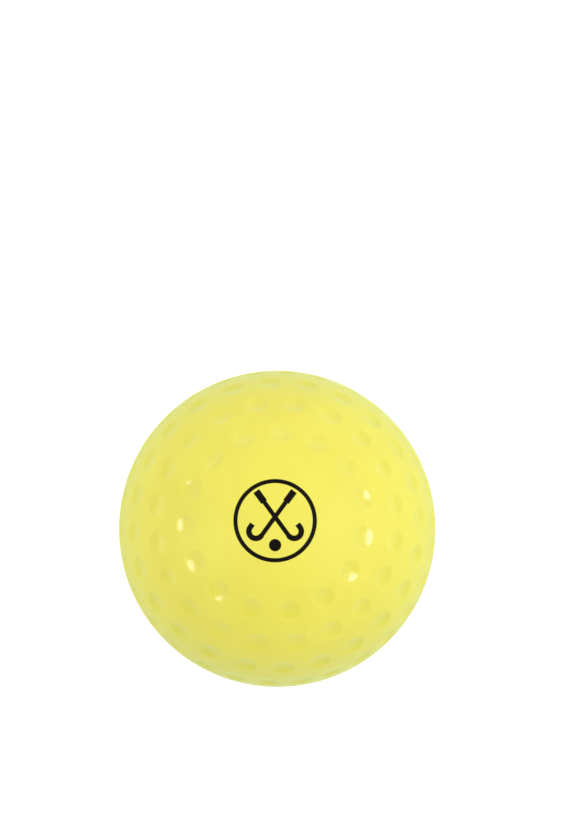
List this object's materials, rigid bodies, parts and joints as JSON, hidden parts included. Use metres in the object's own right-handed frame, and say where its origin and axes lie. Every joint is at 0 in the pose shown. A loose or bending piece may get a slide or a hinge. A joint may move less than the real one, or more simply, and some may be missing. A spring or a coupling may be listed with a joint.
{
  "type": "field hockey ball",
  "caption": "Round dimpled field hockey ball: plastic cover halves welded at the seam over a yarn-wound cork core, for striking and rolling.",
  "frame": {"origin": "centre of the ball", "axes": "+Z up as the ball lies and within 4 degrees of the print pole, +X to the right and +Y up in the picture, which looks down on the ball"},
  "size_m": [0.073, 0.073, 0.073],
  "materials": {
    "yellow_pvc": "glossy moulded PVC",
    "buffed_pvc": "trimmed and buffed PVC",
    "yarn": "undyed worsted yarn",
    "cork": "pressed cork",
    "cork_rubber": "moulded cork and rubber"
  },
  "bodies": {
    "root": {"upper_cover_half": "yellow_pvc", "lower_cover_half": "yellow_pvc", "seam_weld": "buffed_pvc", "outer_yarn_winding": "yarn", "front_cork_cup": "cork", "rear_cork_cup": "cork", "inner_yarn_winding": "yarn", "core_nucleus": "cork_rubber"}
  },
  "joints": []
}
